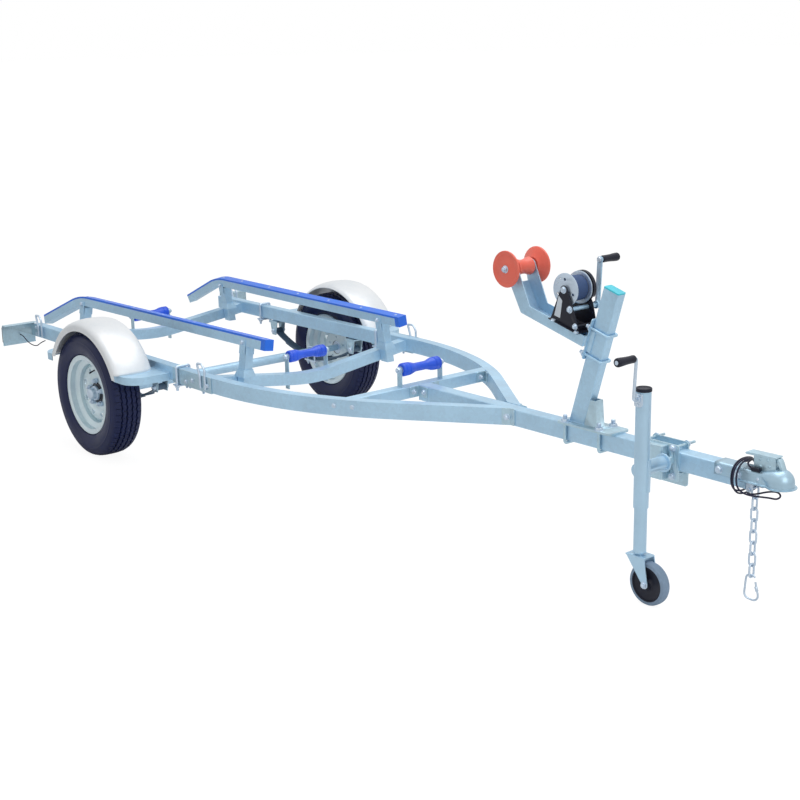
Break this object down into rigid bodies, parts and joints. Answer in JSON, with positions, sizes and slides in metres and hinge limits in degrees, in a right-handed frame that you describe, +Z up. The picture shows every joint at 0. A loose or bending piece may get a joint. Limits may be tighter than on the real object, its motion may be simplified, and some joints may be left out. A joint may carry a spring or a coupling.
{
  "type": "boat trailer",
  "caption": "Boat trailer with a curved tubular frame, padded bunks, keel rollers, a winch post with a bow roller, and a swing-up jockey wheel.",
  "frame": {"origin": "on the ground under the middle of the trailer's box, as it stands on its wheels and jack", "axes": "+X towards the coupler, +Y to the trailer's left, +Z up"},
  "size_m": [4.2464, 1.58, 1.075],
  "materials": {
    "galvanised_steel": "hot-dip galvanised, dull with bright highlights",
    "zinc_steel": "bright zinc plate",
    "blue_plastic": "royal blue moulded plastic",
    "bow_rubber": "orange-red polyurethane",
    "turquoise_plastic": "moulded end cap",
    "black_plastic": "moulded",
    "black_paint": "satin powder coat",
    "strap_webbing": "woven",
    "tyre": "black tread and side",
    "dark_steel": "dull spring steel",
    "red_lens": "moulded lens",
    "rubber_cable": "cable sheath"
  },
  "bodies": {
    "frame": {"axle_beam": "galvanised_steel", "axle_clamps": "galvanised_steel", "bunk_posts": "galvanised_steel", "bunk_strip_left": "blue_plastic", "bunk_strip_right": "blue_plastic", "bunk_tube_left": "galvanised_steel", "bunk_tube_right": "galvanised_steel", "cable_plug": "rubber_cable", "chain_hook": "zinc_steel", "coupler": "galvanised_steel", "coupler_cable": "rubber_cable", "coupler_head": "galvanised_steel", "coupler_latch": "zinc_steel", "cross_member_front": "galvanised_steel", "cross_member_middle": "galvanised_steel", "cross_member_rear": "galvanised_steel", "drawbar": "galvanised_steel", "fender_brackets": "galvanised_steel", "fender_left": "galvanised_steel", "fender_right": "galvanised_steel", "jack_mount": "galvanised_steel", "lamp_brackets": "galvanised_steel", "leaf_springs": "dark_steel", "rail_front_left": "galvanised_steel", "rail_front_right": "galvanised_steel", "rail_splices": "galvanised_steel", "rails_rear": "galvanised_steel", "roller_brackets": "galvanised_steel", "safety_chain": "zinc_steel", "spring_hangers": "galvanised_steel", "tail_lamps": "red_lens", "tie_loops": "galvanised_steel", "winch_arm": "galvanised_steel", "winch_frame": "black_paint", "winch_post": "galvanised_steel", "winch_post_base": "galvanised_steel", "winch_post_cap": "turquoise_plastic", "wire_left": "rubber_cable", "wire_right": "rubber_cable"},
    "wheel_left": {"tyre_left": "tyre", "rim_left": "galvanised_steel", "hub_left": "galvanised_steel"},
    "wheel_right": {"tyre_right": "tyre", "rim_right": "galvanised_steel", "hub_right": "galvanised_steel"},
    "roller_front": {"keel_roller_front": "blue_plastic"},
    "roller_middle": {"keel_roller_middle": "blue_plastic"},
    "roller_rear": {"keel_roller_rear": "blue_plastic"},
    "bow_roller": {"bow_roller": "bow_rubber"},
    "winch_drum": {"winch_drum": "zinc_steel", "winch_strap": "strap_webbing"},
    "winch_crank": {"winch_crank": "zinc_steel", "winch_grip": "black_plastic"},
    "jack": {"jack_tube": "galvanised_steel", "jack_cap": "black_plastic", "jack_crank": "zinc_steel", "jack_grip": "black_plastic"},
    "jack_leg": {"jack_leg": "zinc_steel"},
    "caster": {"caster_fork": "zinc_steel"},
    "jockey_wheel": {"jockey_wheel": "black_plastic"}
  },
  "joints": [
    {"name": "wheel_left_spin", "type": "hinge", "parent": "frame", "child": "wheel_left", "pos_m": [-1.1185, 0.688, 0.2875], "axis": [0, 1, 0], "continuous": true},
    {"name": "wheel_right_spin", "type": "hinge", "parent": "frame", "child": "wheel_right", "pos_m": [-1.1185, -0.688, 0.2875], "axis": [0, 1, 0], "continuous": true},
    {"name": "roller_front_spin", "type": "hinge", "parent": "frame", "child": "roller_front", "pos_m": [0.3465, 0, 0.54], "axis": [0, 1, 0], "continuous": true},
    {"name": "roller_middle_spin", "type": "hinge", "parent": "frame", "child": "roller_middle", "pos_m": [-0.4365, 0, 0.47], "axis": [0, 1, 0], "continuous": true},
    {"name": "roller_rear_spin", "type": "hinge", "parent": "frame", "child": "roller_rear", "pos_m": [-1.8165, 0, 0.466], "axis": [0, 1, 0], "continuous": true},
    {"name": "bow_roller_spin", "type": "hinge", "parent": "frame", "child": "bow_roller", "pos_m": [0.9265, 0, 1.008], "axis": [0, 1, 0], "continuous": true},
    {"name": "winch_drum_spin", "type": "hinge", "parent": "frame", "child": "winch_drum", "pos_m": [1.1875, 0, 0.96], "axis": [0, 1, 0], "continuous": true},
    {"name": "winch_crank_spin", "type": "hinge", "parent": "frame", "child": "winch_crank", "pos_m": [1.2175, 0, 0.894], "axis": [0, 1, 0], "continuous": true},
    {"name": "jack_swing", "type": "hinge", "parent": "frame", "child": "jack", "pos_m": [1.6655, -0.13, 0.44], "axis": [0, 1, 0], "range_deg": [0, 90]},
    {"name": "jack_lift", "type": "slide", "parent": "jack", "child": "jack_leg", "axis": [0, 0, 1], "range_m": [-0.08, 0.145]},
    {"name": "caster_swivel", "type": "hinge", "parent": "jack_leg", "child": "caster", "pos_m": [1.6955, -0.219, 0.16], "axis": [0, 0, 1], "continuous": true},
    {"name": "jockey_wheel_spin", "type": "hinge", "parent": "caster", "child": "jockey_wheel", "pos_m": [1.7405, -0.219, 0.074], "axis": [0, 1, 0], "continuous": true}
  ],
  "couplings": [
    {"joint": "winch_crank_spin", "follows": "winch_drum_spin", "ratio": -5}
  ]
}
